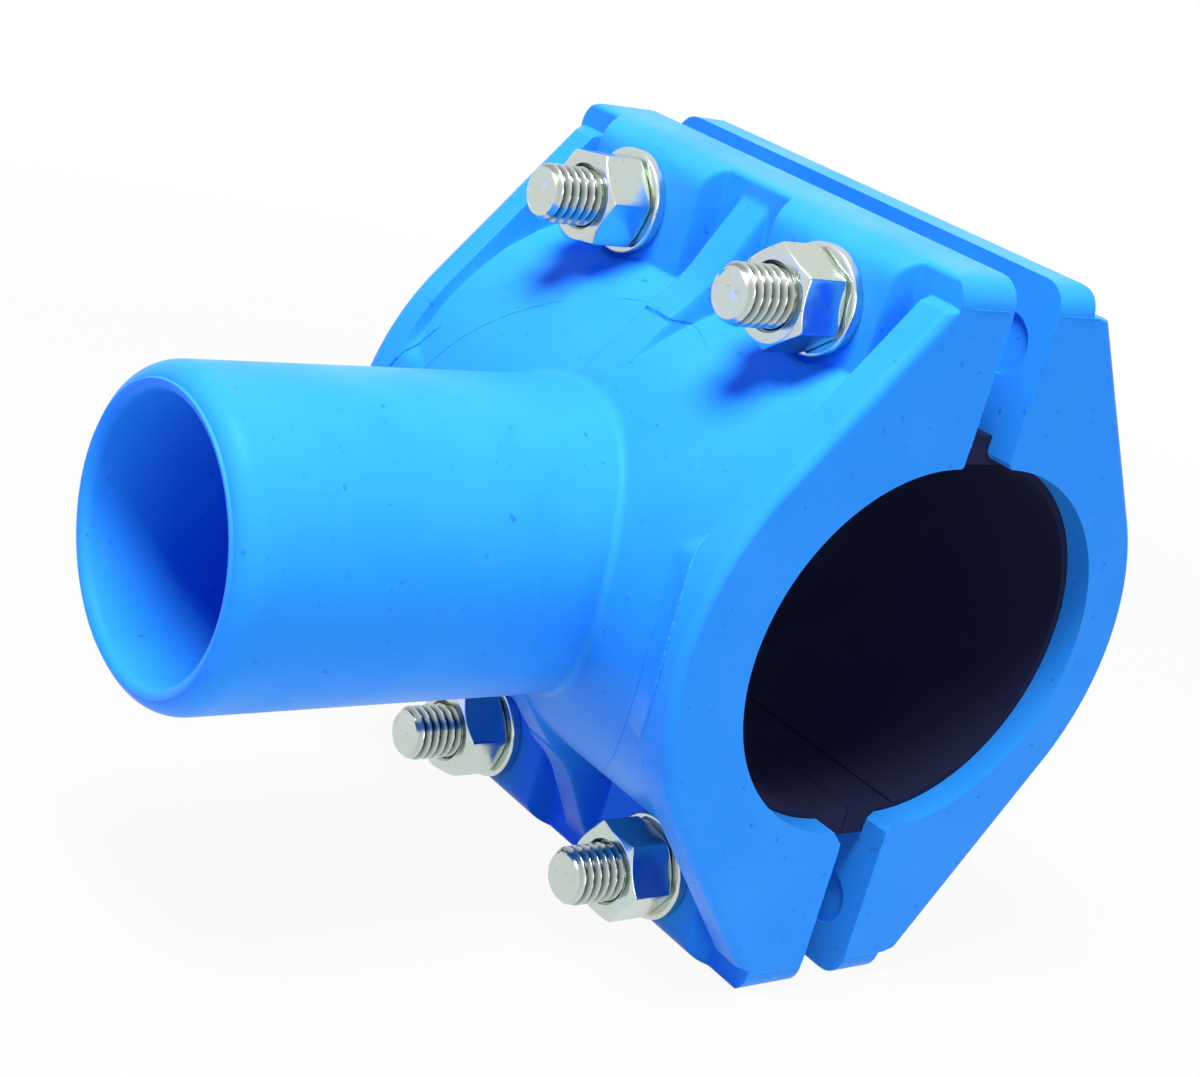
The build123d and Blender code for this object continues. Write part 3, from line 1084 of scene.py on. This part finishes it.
    def _flash(self) -> list[Piece]:
        """Makes the fine flash lines that the mould parts leave on the outside.

        Straight beads run along the split and up each end plate's corner, and two arcs follow the circle
        round the spigot.

        Returns:
            The closed beads.
        """
        clear_of_land, first, clear_of_corner = 3.0, 0.4, 3.4
        ends = self.half_length_mm - OVERLAP_MM
        crease = self.height_mm - self.corner_mm
        rise = np.linspace(self.land_radius_mm + clear_of_land, crease, 90)
        side = np.linspace(first, self.plate_corner_mm - clear_of_corner, 40)
        level = self.split_y_mm + self.half.value * side
        lines = []
        for end in (-ends, ends):
            for up in (-1.0, 1.0):
                split = [np.full_like(rise, end), np.full_like(rise, self.split_y_mm), up * rise]
                across = [np.full_like(side, end), level, np.full_like(side, up * crease)]
                lines += [(np.stack(path, axis=1), self.flash_mm) for path in (split, across)]
        if self.spigot:
            for turn in (0.0, math.pi):
                arc = turn + np.linspace(-0.52, 0.48, 150)
                lines.append((on_circle(self.depth, self.plate_circle_mm, arc), self.circle_flash_mm))
        return [make_object("flash", *bead(path, radius)) for path, radius in lines]

    def _cutters(self) -> list[Piece]:
        """Makes the cutters: the bore, its rubber seat, the bolt holes and the seats round them.

        The shell with the spigot adds its bore and its insert line, and the other one its round marks.

        Returns:
            The cutters.
        """
        inside, mark_start = 5.0, 2.0
        out, split = self.half.value, self.split_y_mm
        pocket = self.half_length_mm - self.land_mm
        cutters = [
            round_bar(self.land_radius_mm, (-PAST_MM, PAST_MM), (split, 0.0), Axis.RUN),
            round_bar(self.pocket_radius_mm, (-pocket, pocket), (split, 0.0), Axis.RUN),
        ]
        for up, reach in zip((1, -1), self.chamfers_mm):
            cutters.append(edge_bar((split, up * self.land_radius_mm), reach))
        span = sorted((split + out * self.seat_mm, split + out * PAST_MM))
        whole = sorted((split - out * inside, split + out * PAST_MM))
        for place in BOLT_PLACES_MM:
            cutters.append(round_bar(self.spot_radius_mm, span, place, Axis.BRANCH))
            cutters.append(round_bar(self.hole_radius_mm, whole, place, Axis.BRANCH))
        if self.spigot:
            return cutters + self.spigot.cutters(self.depth)
        mark = (split - mark_start, split + self.mark_depth_mm)
        return cutters + [round_bar(self.mark_radius_mm, mark, place, Axis.BRANCH) for place in self.mark_places_mm]


# ------------------------------------------------------------------------------------- lining


@dataclass(frozen=True)
class Lining:
    """The rubber lining: two gaskets that keep the CAD's shape."""

    gaskets: tuple[str, ...] = ("front_gasket", "back_gasket")

    def dress(self, nodes: dict[str, Piece], rubber: Material) -> None:
        """Gives the gaskets their material.

        Args:
            nodes: The CAD nodes by name.
            rubber: The black rubber.
        """
        for name in self.gaskets:
            for slot in nodes[name].material_slots:
                slot.link = "OBJECT"
                slot.material = rubber
            LOG.info("%s is dressed, %d faces", name, len(nodes[name].data.polygons))


# ------------------------------------------------------------------------------------- fasteners


@dataclass(frozen=True)
class Hexagon:
    """A hexagon as on a nut or a bolt's head, with chamfers turned as cones."""

    flats_mm: float = 18.0
    face_mm: float = 8.6
    sides: int = 6
    side_samples: int = 24
    chamfer_degrees: float = 30.0
    chamfer_blend_mm: float = 0.25
    corner_blend_mm: float = 0.35
    end_mm: float = 1.3
    wall_start_mm: float = 1.6
    bore_lead_mm: float = 0.7
    pole_mm: float = 1e-3

    def _outline(self, angle: Array) -> Array:
        """Gives the radius at each angle from a corner: f / cos((t mod 60) - 30 degrees), eased."""
        sector = 2.0 * math.pi / self.sides
        half_flats = self.flats_mm / 2.0
        flat = half_flats / np.cos(np.mod(angle, sector) - sector / 2.0)
        corner = half_flats / math.cos(sector / 2.0)
        return smooth_min(flat, np.full_like(flat, corner), self.corner_blend_mm)

    def prism(self, height: float, corner: float, bore: float | None, both_ends: bool) -> tuple[Array, list]:
        """Makes the prism.

        r(t, s) = min(outline(t), face + distance to the end / tan(30)), eased where they meet.

        Args:
            height: Height in millimetres.
            corner: Angle of one corner, in degrees.
            bore: Radius of the hole through it, or None.
            both_ends: Whether both ends are chamfered.

        Returns:
            Vertices in millimetres about Z, and faces.
        """
        turns = self.sides * self.side_samples
        angle = math.radians(corner) + full_turn(turns)
        outline = self._outline(angle - math.radians(corner))
        end = np.linspace(0.0, self.end_mm, 12)
        wall = np.linspace(self.wall_start_mm, height - self.wall_start_mm, 8)
        steps = np.concatenate([end, wall, height - end[::-1]])
        away = np.minimum(steps, height - steps) if both_ends else height - steps
        cone = self.face_mm + away / math.tan(math.radians(self.chamfer_degrees))
        radius = smooth_min(outline, cone[:, None], self.chamfer_blend_mm)
        if bore:
            lead = self.bore_lead_mm
            before, after = [], [(bore + lead, height), (bore, height - lead), (bore, lead), (bore + lead, 0.0)]
        else:
            before, after = [(self.pole_mm, 0.0)], [(self.pole_mm, height)]
        radius = np.vstack([
            *[np.full(turns, size) for size, _ in before],
            radius,
            *[np.full(turns, size) for size, _ in after],
        ])
        level = np.concatenate([[step for _, step in before], steps, [step for _, step in after]])
        faces = grid_faces(len(level), turns, wrap=True)[:, ::-1].tolist()
        first, last = np.arange(turns), np.arange(turns) + (len(level) - 1) * turns
        if bore:
            faces += band(last, first)[:, [0, 3, 2, 1]].tolist()
        else:
            faces += [first[::-1].tolist(), last.tolist()]
        return turned(radius, angle, level[:, None]), faces


@dataclass(frozen=True)
class Bolt:
    """A hexagon-head bolt put in from behind, with its threaded end toward the spigot."""

    zinc: Material
    hexagon: Hexagon = Hexagon()
    crest_mm: float = 5.95
    thread_depth_mm: float = 0.95
    pitch_mm: float = 2.0
    thread_mm: float = 50.0
    shank_mm: float = 6.0
    length_mm: float = 65.0
    head_mm: float = 7.5
    head_corner: float = 15.0
    turns: int = 72
    pitch_samples: int = 14
    runout_mm: float = 0.8
    flank_gain: float = 1.25
    flat_crest: float = 0.14
    flank_power: float = 0.9
    fade_mm: float = 1.5
    tip_mm: float = 4.7
    tip_slope: float = 0.95
    tip_blend_mm: float = 0.3
    clean_tip_mm: float = 1.2
    cap_samples: int = 14
    facet_slope: float = 0.09
    facet_start_mm: float = 0.6
    facet_reach_mm: float = 6.0
    notch_mm: float = 0.25
    notch_place_mm: float = 2.1
    notch_width_mm: float = 0.7
    notch_length_mm: float = 1.1

    def _scar(self, x: Array, y: Array, turn: float) -> Array:
        """Gives the depth of the sheared facet and the little notch in the tip.

        With u and v the places along and across the scar: slope * clip(u - u0) plus
        n exp(-((u + p) / w)^2 - (v / l)^2).

        Args:
            x: Places across the tip.
            y: Places across the tip, square to x.
            turn: Direction of the scar, in degrees.

        Returns:
            Depths in millimetres.
        """
        facing = math.radians(turn)
        along = x * math.cos(facing) + y * math.sin(facing)
        across = x * math.sin(facing) - y * math.cos(facing)
        facet = self.facet_slope * np.clip(along - self.facet_start_mm, 0.0, self.facet_reach_mm)
        spread_ = ((along + self.notch_place_mm) / self.notch_width_mm) ** 2 + (across / self.notch_length_mm) ** 2
        return facet + self.notch_mm * np.exp(-spread_)

    def _rod(self, scar: float) -> tuple[Array, list, Array]:
        """Makes the shank and the thread, from the tip along +Z.

        On the thread r(t, s) = crest - d * g(s / p + t / 2 pi), where g is a flat-topped V, and the first
        turns run out into the tip's chamfer.

        Args:
            scar: Direction of the shear mark on the tip, in degrees.

        Returns:
            Vertices in millimetres about Z, faces, and each thread vertex's depth from 0 to 1, which sets the
            painted shade in the grooves.
        """
        turns = self.turns
        angle = full_turn(turns)
        rows = int(self.thread_mm / self.pitch_mm * self.pitch_samples)
        shank = [self.thread_mm + self.runout_mm, self.length_mm]
        t, s = np.meshgrid(angle, np.concatenate([np.linspace(0.0, self.thread_mm, rows), shank]))
        rows = len(s)
        phase = np.mod(s / self.pitch_mm + t / (2.0 * math.pi), 1.0)
        tooth = np.clip(np.abs(phase - 0.5) * 2.0 * self.flank_gain - self.flat_crest, 0.0, 1.0)
        tooth = tooth**self.flank_power
        fade = smooth_step((self.thread_mm - s) / self.fade_mm)
        radius = self.crest_mm - self.thread_depth_mm * tooth * fade
        radius = np.where(s > self.thread_mm, self.shank_mm, radius)
        radius = smooth_min(radius, self.tip_mm + s * self.tip_slope, self.tip_blend_mm)
        share = np.linspace(0.0, 1.0, self.cap_samples)[1:-1][::-1, None]
        x, y = share * radius[0] * np.cos(angle), share * radius[0] * np.sin(angle)
        cap = np.stack([x, y, self._scar(x, y, scar)], axis=-1).reshape(-1, 3)
        middle = [[0.0, 0.0, self._scar(np.zeros(1), np.zeros(1), scar)[0]], [0.0, 0.0, self.length_mm]]
        points = np.vstack([turned(radius, t, s), cap, middle])
        faces = grid_faces(rows, turns, wrap=True)[:, ::-1].tolist()
        ring = np.arange(turns)
        starts = [0, *(rows * turns + np.arange(len(share)) * turns).tolist()]
        for outer, inner in zip(starts, starts[1:]):
            faces += np.roll(band(outer + ring, inner + ring), 1, axis=1).tolist()
        centre = len(points) - 2
        faces += fan(centre, starts[-1] + ring, forward=False).tolist()
        faces += fan(centre + 1, (rows - 1) * turns + ring, forward=True).tolist()
        # the last value is the mask of painted shade in the thread's grooves
        return points, faces, (tooth * fade * smooth_step(s / self.clean_tip_mm)).ravel()

    @staticmethod
    def _tag_groove_shade(piece: Piece, depth: Array) -> None:
        """Stores how deep each vertex lies in the thread's grooves, where the finish paints shade.

        Args:
            piece: The bolt's piece.
            depth: Depth of each vertex of the thread, from 0 to 1.
        """
        # painted shade mask: how deep each vertex lies in the thread's grooves
        layer = piece.data.attributes.new("groove_shade", "FLOAT", "POINT")
        values = np.zeros(len(piece.data.vertices), dtype=np.float32)
        values[: len(depth)] = depth
        layer.data.foreach_set("value", values)

    def build(self, number: int, head_y_mm: float) -> None:
        """Makes one bolt in place of its CAD node.

        Args:
            number: Which bolt, from 1.
            head_y_mm: Where the head's underside is along Y.
        """
        x, z = BOLT_PLACES_MM[number - 1]
        first_scar, next_scar = 80.0, 47.0
        rod, rod_faces, groove_shade = self._rod(first_scar + next_scar * number)
        head, head_faces = self.hexagon.prism(self.head_mm, self.head_corner, None, both_ends=False)
        placed = along_y(rod, (x, head_y_mm - self.length_mm, z), 1)
        points = np.vstack([placed, along_y(head, (x, head_y_mm, z), 1)])
        faces = rod_faces + [[index + len(placed) for index in face] for face in head_faces]
        piece = make_object(f"bolt_{number}_threaded", points, faces, self.zinc)
        self._tag_groove_shade(piece, groove_shade)
        finish_edges(piece, 40.0)
        seat(piece, f"bolt_{number}", Body.BACK_HALF.value)


@dataclass(frozen=True)
class Nut:
    """A hexagon nut with both ends chamfered."""

    zinc: Material
    hexagon: Hexagon = Hexagon()
    height_mm: float = 10.8
    bore_mm: float = 6.05
    gap_mm: float = 0.1
    corners: tuple[float, ...] = (9.0, 38.0, 10.0, 57.0)

    def build(self, number: int, seat_y_mm: float) -> None:
        """Makes one nut in place of its CAD node.

        Args:
            number: Which nut, from 1.
            seat_y_mm: Where its back face is along Y.
        """
        x, z = BOLT_PLACES_MM[number - 1]
        points, faces = self.hexagon.prism(self.height_mm, self.corners[number - 1], self.bore_mm, both_ends=True)
        piece = make_object(f"nut_{number}_hexagon", along_y(points, (x, seat_y_mm, z), -1), faces, self.zinc)
        finish_edges(piece, 40.0)
        seat(piece, f"nut_{number}", f"nut_body_{number}")


@dataclass(frozen=True)
class Washer:
    """A flat washer, punched, with a rolled edge on one side."""

    zinc: Material
    end: Half
    body: Body
    thickness_mm: float
    radius_mm: float = 11.0
    hole_mm: float = 6.6
    rounds_mm: tuple[float, ...] = (0.25, 0.8, 0.45, 0.25)

    def build(self, number: int, seat_y_mm: float) -> None:
        """Makes one washer in place of its CAD node.

        Its section is a rectangle with rounded corners, turned about the bolt.

        Args:
            number: Which bolt it is on, from 1.
            seat_y_mm: Where it lies on the shell along Y.
        """
        x, z = BOLT_PLACES_MM[number - 1]
        hole, rim, thick = self.hole_mm, self.radius_mm, self.thickness_mm
        corners = [(hole, thick / 2.0), (hole, thick), (rim, thick), (rim, 0.0), (hole, 0.0), (hole, thick / 2.0)]
        radius, height = np.array(rounded(corners, self.rounds_mm, 6)[:-1]).T[..., None]
        rows, turns = len(radius), 96
        placed = along_y(turned(radius, full_turn(turns), height), (x, seat_y_mm, z), self.end.value)
        first = np.arange(turns)
        faces = np.vstack([grid_faces(rows, turns, wrap=True), band((rows - 1) * turns + first, first)])
        node = f"{self.end.name.lower()}_washer_{number}"
        piece = make_object(f"{node}_plated", placed, outward(placed, faces), self.zinc)
        finish_edges(piece, 50.0)
        seat(piece, node, self.body.value)


# ------------------------------------------------------------------------------------- scene


@dataclass(frozen=True)
class Camera:
    """Where the camera stands, in metres, and its lens and sensor, in millimetres."""

    place: tuple[float, float, float] = (0.3244, -0.3210, 0.1484)
    forward: tuple[float, float, float] = (-0.70439, 0.63100, -0.32507)
    right: tuple[float, float, float] = (0.57916, 0.77570, 0.25072)
    lens: float = 68.3
    sensor: float = 36.0
    clip_start: float = 0.01

    def build(self) -> None:
        """Makes the camera and looks through it."""
        data = bpy.data.cameras.new("camera")
        data.sensor_width = self.sensor
        data.lens = self.lens
        data.clip_start = self.clip_start
        camera = bpy.data.objects.new("camera", data)
        forward = Vector(self.forward).normalized()
        right = Vector(self.right).normalized()
        up = right.cross(forward).normalized()
        turn = Matrix((right, up, -forward)).transposed()
        camera.matrix_world = Matrix.Translation(self.place) @ turn.to_4x4()
        bpy.context.scene.collection.objects.link(camera)
        bpy.context.scene.camera = camera


@dataclass(frozen=True)
class StudioLight:
    """One soft area light that faces the origin. An object light leaves the floor alone."""

    name: str
    place: tuple[float, float, float]
    size: float
    power: float
    colour: Colour = WHITE
    object_only: bool = False

    def build(self) -> None:
        """Makes the lamp, and links it to the object's pieces alone if it leaves the floor out."""
        lamp = bpy.data.lights.new(self.name, "AREA")
        lamp.size = self.size
        lamp.energy = self.power
        lamp.color = self.colour
        holder = bpy.data.objects.new(self.name, lamp)
        holder.location = self.place
        holder.rotation_euler = (-Vector(self.place)).to_track_quat("-Z", "Y").to_euler()
        bpy.context.scene.collection.objects.link(holder)
        if self.object_only:
            lit = bpy.data.collections.new(f"{self.name}_lit")
            for piece in bpy.context.scene.objects:
                if piece.type == "MESH" and not piece.get("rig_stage"):
                    lit.objects.link(piece)
            holder.light_linking.receiver_collection = lit


@dataclass(frozen=True)
class Studio:
    """The floor, the surround and the lights."""

    floor: Colour = (0.55, 0.55, 0.55)
    floor_roughness: float = 0.9
    floor_specular: float = 0.1
    floor_radius: float = 0.62
    floor_feather: float = 0.30
    floor_sides: int = 64
    floor_white: float = 0.94
    fill: Colour = (0.02, 0.045, 0.27)
    lights: tuple[StudioLight, ...] = (
        StudioLight("key", (0.11, -0.35, 1.03), 0.5, 18.8),
        StudioLight("side", (1.0, -0.15, 0.25), 0.7, 3.4),
        StudioLight("blue_fill", (-0.35, -1.0, 0.1), 0.6, 3.4, (0.0, 0.01, 1.0), True),
    )

    def build(self, floor_height: float) -> None:
        """Makes the surround, the floor and the lights.

        Args:
            floor_height: Height of the floor in metres.
        """
        self._surround()
        self._floor(floor_height)
        for light in self.lights:
            light.build()

    def _surround(self) -> None:
        """Makes a background that shows white and lights the object's shadows with the fill."""
        world = bpy.data.worlds.new("surround")
        bpy.context.scene.world = world
        world.use_nodes = True
        tree = world.node_tree
        fill = set_inputs(tree.nodes["Background"], {"Color": (*self.fill, 1.0)})
        white = set_inputs(add_node(tree, "ShaderNodeBackground"), {"Color": (*WHITE, 1.0)})
        mix = add_node(tree, "ShaderNodeMixShader")
        tree.links.new(self._seen(tree), mix.inputs["Fac"])
        tree.links.new(fill.outputs["Background"], mix.inputs[1])
        tree.links.new(white.outputs["Background"], mix.inputs[2])
        tree.links.new(mix.outputs["Shader"], tree.nodes["World Output"].inputs["Surface"])

    @staticmethod
    def _seen(tree: Tree) -> Socket:
        """Gives 1 for rays that show a surface: from the camera, off a gloss, or through glass.

        Args:
            tree: Tree to add to.

        Returns:
            Socket of the largest of the three ray tests.
        """
        path = add_node(tree, "ShaderNodeLightPath")
        seen = path.outputs["Is Camera Ray"]
        for ray in ("Is Glossy Ray", "Is Transmission Ray"):
            either = add_node(tree, "ShaderNodeMath", operation="MAXIMUM")
            tree.links.new(seen, either.inputs[0])
            tree.links.new(path.outputs[ray], either.inputs[1])
            seen = either.outputs["Value"]
        return seen

    def _whiten(self, tree: Tree, shader: Node) -> Socket:
        """Lets the floor look almost white while it keeps the object's shadow and its own bounce.

        Args:
            tree: The floor's tree.
            shader: The floor's own shader.

        Returns:
            Socket that fades the floor in where it is 1.
        """
        share = add_node(tree, "ShaderNodeMath", operation="MULTIPLY")
        set_inputs(share, {1: self.floor_white})
        white = add_node(tree, "ShaderNodeEmission")
        mix = add_node(tree, "ShaderNodeMixShader")
        clear = add_node(tree, "ShaderNodeBsdfTransparent")
        faded = add_node(tree, "ShaderNodeMixShader")
        tree.links.new(self._seen(tree), share.inputs[0])
        tree.links.new(share.outputs["Value"], mix.inputs["Fac"])
        tree.links.new(shader.outputs["BSDF"], mix.inputs[1])
        tree.links.new(white.outputs["Emission"], mix.inputs[2])
        tree.links.new(clear.outputs["BSDF"], faded.inputs[1])
        tree.links.new(mix.outputs["Shader"], faded.inputs[2])
        tree.links.new(faded.outputs["Shader"], tree.nodes["Material Output"].inputs["Surface"])
        return faded.inputs["Fac"]

    def _floor(self, height: float) -> None:
        """Makes a pale round floor that fades into the background at its edge.

        Args:
            height: Height of the floor in metres.
        """
        material = bpy.data.materials.new("floor")
        material.use_nodes = True
        tree = material.node_tree
        shader = set_inputs(
            tree.nodes["Principled BSDF"],
            {
                "Base Color": (*self.floor, 1.0),
                "Roughness": self.floor_roughness,
                "Specular IOR Level": self.floor_specular,
            },
        )
        where = add_node(tree, "ShaderNodeTexCoord")
        reach = add_node(tree, "ShaderNodeVectorMath", operation="LENGTH")
        fade = add_node(tree, "ShaderNodeMapRange", interpolation_type="SMOOTHSTEP")
        inner = self.floor_radius - self.floor_feather
        set_inputs(fade, {"From Min": inner, "From Max": self.floor_radius, "To Min": 1.0, "To Max": 0.0})
        tree.links.new(where.outputs["Object"], reach.inputs[0])
        tree.links.new(reach.outputs["Value"], fade.inputs["Value"])
        tree.links.new(fade.outputs["Result"], self._whiten(tree, shader))
        rim = turned(self.floor_radius, full_turn(self.floor_sides), 0.0)
        floor = make_object("floor", rim, [list(range(self.floor_sides))], material)
        floor.location.z = height
        floor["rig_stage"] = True


# ------------------------------------------------------------------------------------- the saddle

FRONT_SHELL = MouldedShell(
    name="spigot_shell_moulding",
    node="spigot_shell",
    half=Half.FRONT,
    body=Body.SPIGOT_HALF,
    split_y_mm=0.0,
    body_radius_mm=54.0,
    plate_radius_mm=56.3,
    plate_corner_mm=15.7,
    flange_mm=14.4,
    pad_rise_mm=5.2,
    rib_crest_mm=((14.4, 71.2), (24.6, 53.8), (33.3, 46.2), (44.9, 32.4), (54.9, 0.0), (0.0, 84.0)),
    crown_start_mm=10.5,
    crown_radius_mm=12.0,
    spigot=Spigot(),
)
BACK_SHELL = MouldedShell(
    name="back_shell_moulding",
    node="back_shell",
    half=Half.BACK,
    body=Body.BACK_HALF,
    split_y_mm=12.5,
    body_radius_mm=49.4,
    plate_radius_mm=51.6,
    plate_corner_mm=15.8,
    flange_mm=10.0,
    seat_mm=7.3,
    pad_rise_mm=0.0,
    rib_crest_mm=((10.0, 70.0), (18.0, 50.0), (37.5, 37.5), (50.0, 18.0), (53.1, 0.0), (-5.0, 90.0)),
    crown_start_mm=7.6,
    crown_radius_mm=3.4,
    crown_blend_mm=0.8,
    plate_end_ease_mm=0.4,
    plate_end_fall=14.0,
    chamfers_mm=(1.1, 1.4),
)


def main() -> None:
    """Builds the saddle's pieces in order, then the studio and the camera."""
    logging.basicConfig(level=logging.INFO)
    bpy.context.scene.view_settings.view_transform = "Standard"
    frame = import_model()
    cad_low, cad_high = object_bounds()
    grain = Grain().build()
    plastic, rubber, zinc = (look.make(grain) for look in (PlasticFinish(), RubberFinish(), ZincFinish()))
    for shell in (FRONT_SHELL, BACK_SHELL):
        shell.build(plastic)
    bolt, nut = Bolt(zinc), Nut(zinc)
    front_washer = Washer(zinc, Half.FRONT, Body.SPIGOT_HALF, thickness_mm=2.5)
    back_washer = Washer(zinc, Half.BACK, Body.BACK_HALF, thickness_mm=2.0)
    back_seat = BACK_SHELL.split_y_mm + BACK_SHELL.seat_mm
    nut_seat = -(FRONT_SHELL.seat_mm + front_washer.thickness_mm + nut.gap_mm)
    for number in range(1, len(BOLT_PLACES_MM) + 1):
        bolt.build(number, back_seat + back_washer.thickness_mm)
        nut.build(number, nut_seat)
        front_washer.build(number, -FRONT_SHELL.seat_mm)
        back_washer.build(number, back_seat)
    Lining().dress(frame["nodes"], rubber)
    Studio().build(cad_low.z)
    Camera().build()


if __name__ == "__main__":
    main()
